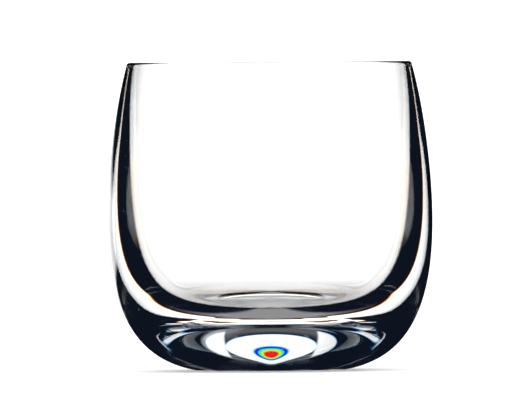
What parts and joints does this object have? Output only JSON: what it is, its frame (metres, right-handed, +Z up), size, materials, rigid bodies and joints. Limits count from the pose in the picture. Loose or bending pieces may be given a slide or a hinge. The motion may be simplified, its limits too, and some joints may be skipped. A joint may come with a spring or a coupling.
{
  "type": "whiskey tumbler",
  "caption": "Barrel-shaped clear glass tumbler with a thick solid base, a rounded drinking space and a fire-polished lip.",
  "frame": {"origin": "centre of the flat resting face under the base", "axes": "+Z up along the axis of revolution, towards the lip; X and Y lie in the resting plane"},
  "size_m": [0.095, 0.095, 0.09],
  "materials": {
    "clear_glass": "fire-polished clear crystal glass, very smooth, with a faint cool tint where it is thick"
  },
  "bodies": {
    "root": {"glass_body": "clear_glass"}
  },
  "joints": []
}
